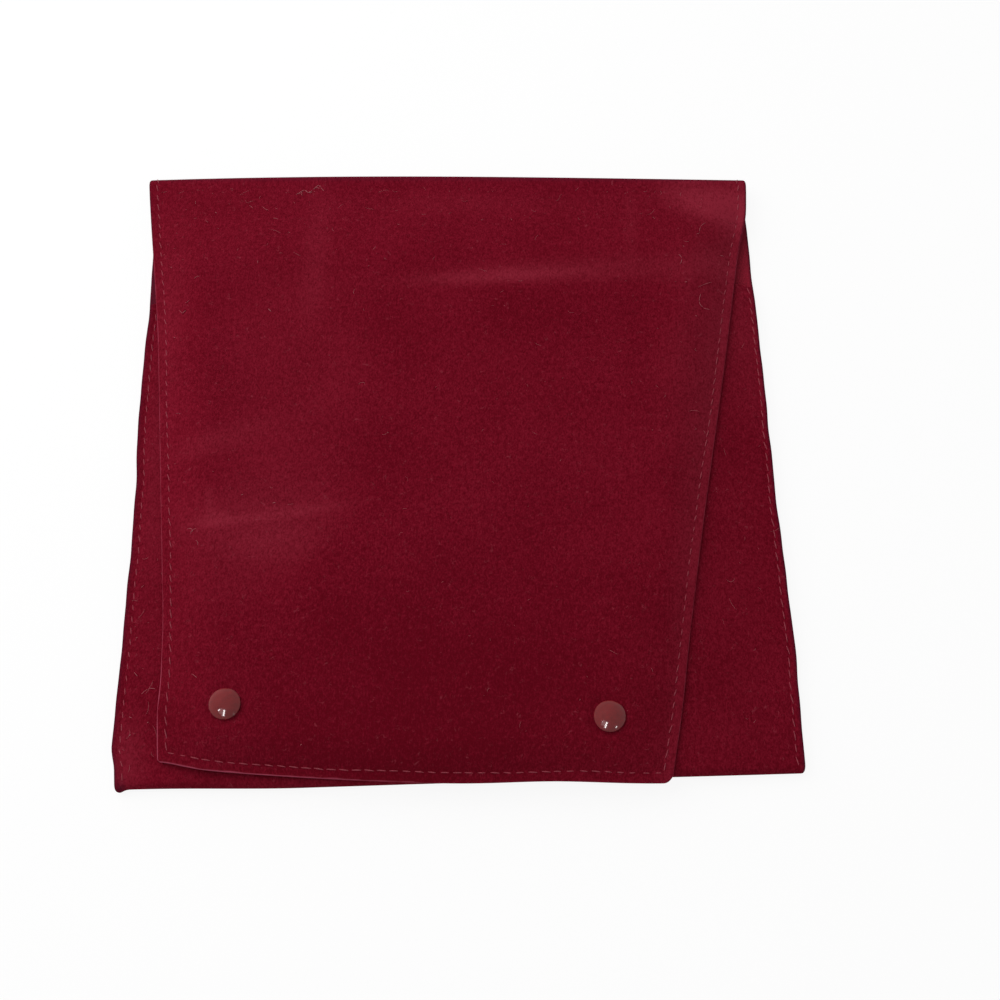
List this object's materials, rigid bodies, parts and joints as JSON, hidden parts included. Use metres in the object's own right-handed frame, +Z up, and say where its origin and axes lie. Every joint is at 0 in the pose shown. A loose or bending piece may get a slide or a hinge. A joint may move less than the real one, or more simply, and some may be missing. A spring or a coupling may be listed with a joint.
{
  "type": "envelope pouch",
  "caption": "Flat lined velvet pouch folded from one strip, with a tapered topstitched flap that closes over the pocket on domed press studs.",
  "frame": {"origin": "middle of the back panel's outer face, on which the pouch lies", "axes": "+X along the top fold, +Y from the pouch's middle towards the top fold, +Z up out of the flap's face"},
  "size_m": [0.227, 0.2234, 0.0137],
  "materials": {
    "velvet": "dark red velvet with a short brushed pile",
    "lining": "plain woven lining in a darker red",
    "thread": "twisted sewing thread, a paler pinkish red",
    "cap_enamel": "glossy brownish red enamel on a domed metal cap",
    "snap_brass": "bright pressed brass"
  },
  "bodies": {
    "pouch": {"body_velvet": "velvet", "body_lining": "lining", "top_fold_velvet": "velvet", "top_fold_lining": "lining", "left_seam_thread": "thread", "right_seam_thread": "thread", "mouth_hem_thread": "thread", "left_stud": "snap_brass", "left_stud_post": "snap_brass", "right_stud": "snap_brass", "right_stud_post": "snap_brass"},
    "flap": {"flap_velvet": "velvet", "flap_lining": "lining", "flap_topstitch": "thread", "left_cap": "cap_enamel", "left_socket": "snap_brass", "left_socket_spring": "snap_brass", "right_cap": "cap_enamel", "right_socket": "snap_brass", "right_socket_spring": "snap_brass"}
  },
  "joints": [
    {"name": "flap_hinge", "type": "hinge", "parent": "pouch", "child": "flap", "pos_m": [-0.00355, 0.10907, 0.00325], "axis": [-1, 0, 0], "range_deg": [0, 172], "deforming": ["top_fold_velvet", "top_fold_lining"]}
  ]
}
